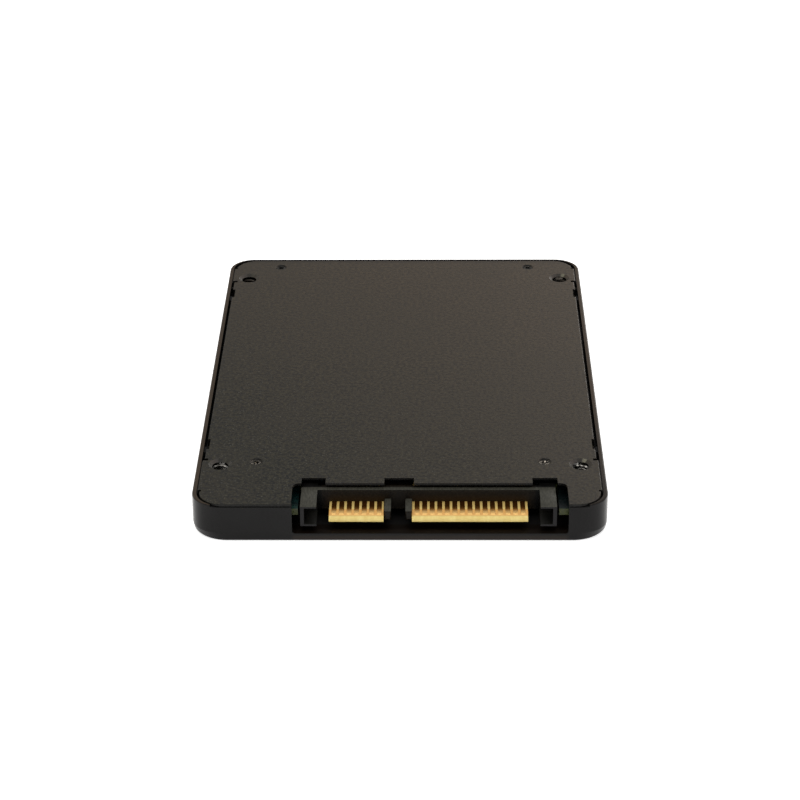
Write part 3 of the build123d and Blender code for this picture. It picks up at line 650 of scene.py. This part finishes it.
def cut(target, cutter, operation="DIFFERENCE"):
    """Boolean of two closed bmeshes. Both are used up."""
    objects = []
    for bm in (target, cutter):
        mesh = bpy.data.meshes.new("operand")
        bm.to_mesh(mesh)
        bm.free()
        obj = bpy.data.objects.new("operand", mesh)
        collection.objects.link(obj)
        objects.append(obj)
    modifier = objects[0].modifiers.new("cut", "BOOLEAN")
    modifier.operation = operation
    modifier.solver = "EXACT"
    modifier.object = objects[1]
    result = bmesh.new()
    result.from_object(objects[0], bpy.context.evaluated_depsgraph_get())
    for obj in objects:
        mesh = obj.data
        bpy.data.objects.remove(obj)
        bpy.data.meshes.remove(mesh)
    return result


def add_piece(name, bm, slot, replaced):
    """Turns a bmesh in mm into a piece that rides on the drive in place of these CAD nodes."""
    bmesh.ops.scale(bm, vec=(MM, MM, MM), verts=bm.verts)
    mesh = bpy.data.meshes.new(name)
    bm.to_mesh(mesh)
    bm.free()
    mesh.materials.clear()
    mesh.materials.append(FINISHES[slot])
    for polygon in mesh.polygons:
        polygon.use_smooth = True
        polygon.material_index = 0
    mesh.set_sharp_from_angle(angle=SMOOTH_ANGLE)
    piece = bpy.data.objects.new(name, mesh)
    collection.objects.link(piece)
    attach(piece, "root")
    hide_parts(*replaced)


# ------------------------------------------------------------------ mounting blocks with threads
THREAD_PITCH = 0.5
THREAD_STEPS = 36
THREAD_MAJOR_R = 1.5
THREAD_CREST_R, THREAD_CREST_HALF = 1.25, 0.035
THREAD_ROOT_R, THREAD_ROOT_HALF = 1.54, 0.20
BASE_BORE_Z = (2.35, 2.6, 6.9)
BASE_THREAD_Z, BASE_THREAD_LENGTH = 2.8, 3.5
SIDE_BORE_X = (32.45, 32.7, 34.5)
SIDE_MOUTH_R, SIDE_MOUTH_X = 1.7, (34.7, 35.2)
SIDE_THREAD_X, SIDE_THREAD_LENGTH = 32.85, 1.6


def thread_ridge(length):
    """Helical ridge of an inside thread: a closed spring with a blunt-pointed section."""
    bm = bmesh.new()
    section = [(THREAD_CREST_R, -THREAD_CREST_HALF), (THREAD_CREST_R, THREAD_CREST_HALF),
               (THREAD_ROOT_R, THREAD_ROOT_HALF), (THREAD_ROOT_R, -THREAD_ROOT_HALF)]
    rings = []
    for k in range(int(length / THREAD_PITCH * THREAD_STEPS) + 1):
        turn = 2 * math.pi * k / THREAD_STEPS
        z = THREAD_PITCH * k / THREAD_STEPS
        rings.append([bm.verts.new((r * math.cos(turn), r * math.sin(turn), z + dz))
                      for r, dz in section])
    for low, high in zip(rings, rings[1:]):
        for k in range(4):
            bm.faces.new((low[k], low[(k + 1) % 4], high[(k + 1) % 4], high[k]))
    bm.faces.new(rings[0][::-1])
    bm.faces.new(rings[-1])
    bmesh.ops.recalc_face_normals(bm, faces=bm.faces)
    return bm


def base_bore():
    """Blind hole through the block's top, with a drilled point at its bottom."""
    point, bottom, top = BASE_BORE_Z
    return lathe([(0, point), (THREAD_MAJOR_R, bottom), (THREAD_MAJOR_R, top), (0, top)])


def side_bore():
    """Blind hole out to the side, with a drilled point and a widened mouth, built along Z."""
    point, bottom, neck = SIDE_BORE_X
    mouth, out = SIDE_MOUTH_X
    return lathe([(0, point), (THREAD_MAJOR_R, bottom), (THREAD_MAJOR_R, neck),
                  (SIDE_MOUTH_R, mouth), (SIDE_MOUTH_R, out), (0, out)])


def add_mounting_blocks():
    for row, y in M3_ROWS.items():
        for side_name, side in SIDES.items():
            node = f"mounting_block_{row}_{side_name}"
            lie = Matrix.Rotation(math.radians(90 * side), 4, "Y")
            upright = moved(base_bore(), Matrix.Translation((side * M3_X, y, 0)))
            sideways = moved(side_bore(), Matrix.Translation((0, y, M3_SIDE_Z)) @ lie)
            body = cut(node_bmesh(node), joined([upright, sideways]))
            base_place = Matrix.Translation((side * M3_X, y, BASE_THREAD_Z))
            side_place = Matrix.Translation((side * SIDE_THREAD_X, y, M3_SIDE_Z))
            base_ridge = moved(thread_ridge(BASE_THREAD_LENGTH), base_place)
            side_ridge = moved(thread_ridge(SIDE_THREAD_LENGTH), side_place @ lie)
            whole = joined([body, base_ridge, side_ridge])
            add_piece(node + "_threaded", whole, "block_metal", [node])


# ------------------------------------------------------------------ screws
HEAD_EDGE = 0.06
SHANK_CHAMFER = 0.15
CONE_EDGE = (0.02, 0.05)
PAN_CROWN = ((0.0, 0.28), (0.09, 0.10))
CROWN_RISE, CROWN_FLAT = 0.01, 0.7
COVER_HEAD_R, COVER_HEAD_Z = 0.98, (6.35, 6.84)
COVER_SHANK_R, COVER_SHANK_Z = 0.70, 3.2
COVER_RECESS = (1.15, 0.34, 0.40)
BOARD_HEAD_R, BOARD_HEAD_Z = 1.5, (4.7, 5.5)
BOARD_SHANK_R, BOARD_SHANK_Z = 0.8, 1.6
BOARD_RECESS = (1.7, 0.45, 0.5)
RECESS_FOOT = (0.55, 0.7)
RECESS_FLARE = 1.75
RECESS_OVERCUT = 0.05


def countersunk_side(head_r, low, high, shank_r):
    """Profile of a cone from the shank to the head's edge."""
    rim_z = high - HEAD_EDGE
    return [(shank_r, low), (head_r - CONE_EDGE[0], rim_z - CONE_EDGE[1]), (head_r, rim_z)]


def pan_side(head_r, low, high, shank_r):
    """Profile of a flat-based head with a softened edge and crown."""
    base = [(shank_r, low), (head_r - HEAD_EDGE, low), (head_r, low + HEAD_EDGE)]
    return base + [(head_r - inwards, high - down) for inwards, down in PAN_CROWN]


def cross_screw(side_profile, head_r, head_z, shank_r, shank_z, recess):
    """Screw with a softened head and a tapered cross recess."""
    low, high = head_z
    profile = [(0, shank_z), (shank_r - SHANK_CHAMFER, shank_z), (shank_r, shank_z + SHANK_CHAMFER)]
    profile += side_profile(head_r, low, high, shank_r)
    profile += [(head_r - HEAD_EDGE, high - CROWN_RISE), (head_r * CROWN_FLAT, high), (0, high)]
    screw = lathe(profile)
    length, width, depth = recess
    half_x, half_y = length / 2 * RECESS_FOOT[0], width / 2 * RECESS_FOOT[1]
    for degrees in (0, 90):
        bar = block_bmesh((-half_x, -half_y, high - depth), (half_x, half_y, high + RECESS_OVERCUT),
                          RECESS_FLARE)
        screw = cut(screw, moved(bar, Matrix.Rotation(math.radians(degrees), 4, "Z")))
    return screw


def add_screw_group(node, slot, half_x, rows, make_screw):
    """Four screws, each at its own turn, as one piece."""
    parts = []
    for x in (-half_x, half_x):
        for y in rows:
            screw = make_screw()
            turn = Matrix.Rotation(random.uniform(0, math.pi / 2), 4, "Z")
            parts.append(moved(screw, Matrix.Translation((x, y, 0)) @ turn))
    add_piece(node + "_detailed", joined(parts), slot, [node])


def cover_screw():
    return cross_screw(countersunk_side, COVER_HEAD_R, COVER_HEAD_Z, COVER_SHANK_R, COVER_SHANK_Z,
                       COVER_RECESS)


def board_screw():
    return cross_screw(pan_side, BOARD_HEAD_R, BOARD_HEAD_Z, BOARD_SHANK_R, BOARD_SHANK_Z,
                       BOARD_RECESS)


def add_screws():
    random.seed(11)
    add_screw_group("cover_screws", "screw_metal", COVER_SCREW_X, COVER_SCREW_ROWS, cover_screw)
    add_screw_group("board_screws", "board_screw_metal", BOARD_SCREW_X, BOARD_SCREW_ROWS,
                    board_screw)


# ------------------------------------------------------------------ connector with softened edges
# Fronts and ends are distances from the case's front face, towards the rear.
POST_FRONT, POST_TAIL_END = 0.6, 8.85
POST_W, POST_WALL = 2.76, 0.68
POCKET_END, POCKET_Z = 5.2, (2.9, 5.88)
WALL_FACE, WALL_END = 6.45, 8.0
REAR_END, REAR_Z = 10.6, 5.5
KEYS_X = ((-2.6, -1.485), (0.925, 2.03))
KEY_FRONT, KEY_Z, KEY_CHAMFER = 2.0, (2.85, 4.5), 0.2
WAFER_SLOT_Z, WAFER_REAR_SLOT_Z = (2.70, 3.99), (3.9, 5.6)
WAFER_SLOT_FRONT, WAFER_SLOT_END = 6.0, 10.7
WALL_ROUND, POST_ROUND, TAIL_ROUND, KEY_ROUND = 0.08, 0.09, 0.06, 0.04
WAFER_ROUND, CONTACT_ROUND = 0.04, 0.035
# Solids that are joined overlap by these lengths, and small offsets keep their level faces apart.
POST_OVERLAP, TAIL_OVERLAP, REAR_OVERLAP = 0.3, 0.4, 0.2
POST_PROUD, REAR_INSET = 0.001, 0.01
TAIL_INSET_LOW, TAIL_INSET_HIGH = 0.02, 0.002
POCKET_OVERCUT = 1.0


def along(x_range, along_range, z_range):
    """Box between distances from the case's front face."""
    low, high = zip(x_range, [a + CASE_FRONT_Y for a in along_range], z_range)
    return block_bmesh(low, high)


def guide_posts():
    """Channel-shaped post and tail at each end, the channels open inwards and at the front."""
    left, _, floor_z = HOUSING_LOW
    right, _, roof_z = HOUSING_HIGH
    left_post, right_post = (left, left + POST_W), (right - POST_W, right)
    left_pocket = (left + POST_WALL, left + POST_W + POCKET_OVERCUT)
    right_pocket = (right - POST_W - POCKET_OVERCUT, right - POST_WALL)
    parts = []
    for post, pocket in ((left_post, left_pocket), (right_post, right_pocket)):
        body = along(post, (POST_FRONT, WALL_FACE + POST_OVERLAP),
                     (floor_z - POST_PROUD, roof_z + POST_PROUD))
        channel = along(pocket, (-POCKET_OVERCUT, POCKET_END), POCKET_Z)
        parts.append(soften(cut(body, channel), POST_ROUND))
        tail = along(post, (WALL_END - TAIL_OVERLAP, POST_TAIL_END),
                     (floor_z + TAIL_INSET_LOW, roof_z - TAIL_INSET_HIGH))
        parts.append(soften(tail, TAIL_ROUND))
    return parts


def tongue_keys():
    """The two keys beside the tongues, with a chamfered nose."""
    parts = []
    for x_range in KEYS_X:
        key = along(x_range, (KEY_FRONT, WALL_FACE + POST_OVERLAP), KEY_Z)
        nose_y = CASE_FRONT_Y + KEY_FRONT
        nose = [e for e in key.edges if all(abs(v.co.y - nose_y) < 1e-4 for v in e.verts)]
        bevel(key, nose, KEY_CHAMFER, 1)
        parts.append(soften(key, KEY_ROUND))
    return parts


def housing_bmesh():
    """Connector moulding: back wall, guide posts and keys, every outside edge rounded."""
    left, _, floor_z = HOUSING_LOW
    right, _, roof_z = HOUSING_HIGH
    wall = along((left, right), (WALL_FACE, WALL_END), (floor_z, roof_z))
    rear = along((left + REAR_INSET, right - REAR_INSET), (WALL_END - REAR_OVERLAP, REAR_END),
                 (floor_z + REAR_INSET, REAR_Z))
    body = soften(wall, WALL_ROUND)
    for part in [soften(rear, WALL_ROUND)] + guide_posts() + tongue_keys():
        body = cut(body, part, "UNION")
    for low, high in ((SIGNAL_WAFER_LOW, SIGNAL_WAFER_HIGH), (POWER_WAFER_LOW, POWER_WAFER_HIGH)):
        x_range = (low[0], high[0])
        body = cut(body, along(x_range, (WAFER_SLOT_FRONT, WAFER_SLOT_END), WAFER_SLOT_Z))
        body = cut(body, along(x_range, (WALL_END - REAR_INSET, WAFER_SLOT_END), WAFER_REAR_SLOT_Z))
    return body


def add_connector():
    add_piece("connector_housing_moulded", housing_bmesh(), "connector_plastic",
              ["connector_housing"])
    for name in ("signal", "power"):
        wafer = soften(node_bmesh(name + "_wafer"), WAFER_ROUND)
        add_piece(name + "_wafer_softened", wafer, "wafer_plastic", [name + "_wafer"])
        strips = soften(node_bmesh(name + "_contacts"), CONTACT_ROUND)
        add_piece(name + "_contacts_softened", strips, "contact_gold", [name + "_contacts"])


# ------------------------------------------------------------------ studio
# Light: place, aim, size, watts, colour
LIGHTS = {
    "top": ((0, -60, 700), (0, 0, 0), (900, 700), 3.8, (1.0, 0.965, 0.91)),
    "rear_right": ((340, 740, 220), (20, 20, 5), (320, 180), 1.1, (1.0, 0.95, 0.9)),
    "rear_left": ((-560, 460, 370), (0, 0, 5), (160, 160), 0.7, (1.0, 0.97, 0.88)),
    "front": ((0, -560, 260), (0, -40, 0), (500, 260), 0.5, (0.97, 0.98, 1.0)),
}
SKY_STRENGTH = 0.50


def add_studio():
    """White surroundings, a pale floor and four soft lights."""
    bpy.context.scene.view_settings.view_transform = "Standard"
    world = bpy.data.worlds.new("studio")
    world.use_nodes = True
    background = world.node_tree.nodes["Background"]
    background.inputs["Color"].default_value = (1, 1, 1, 1)
    background.inputs["Strength"].default_value = SKY_STRENGTH
    bpy.context.scene.world = world
    add_floor(floor_paint())
    for name, numbers in LIGHTS.items():
        add_area_light(name, *numbers)


def paint_nodes():
    """Gives every CAD node the finish of its material slot."""
    for subpart in frame["record"]["subparts"]:
        materials = nodes[subpart["node"]].data.materials
        materials.clear()
        materials.append(FINISHES[subpart["material_slot"]])


add_camera()
add_studio()
paint_nodes()
add_mounting_blocks()
add_screws()
add_connector()
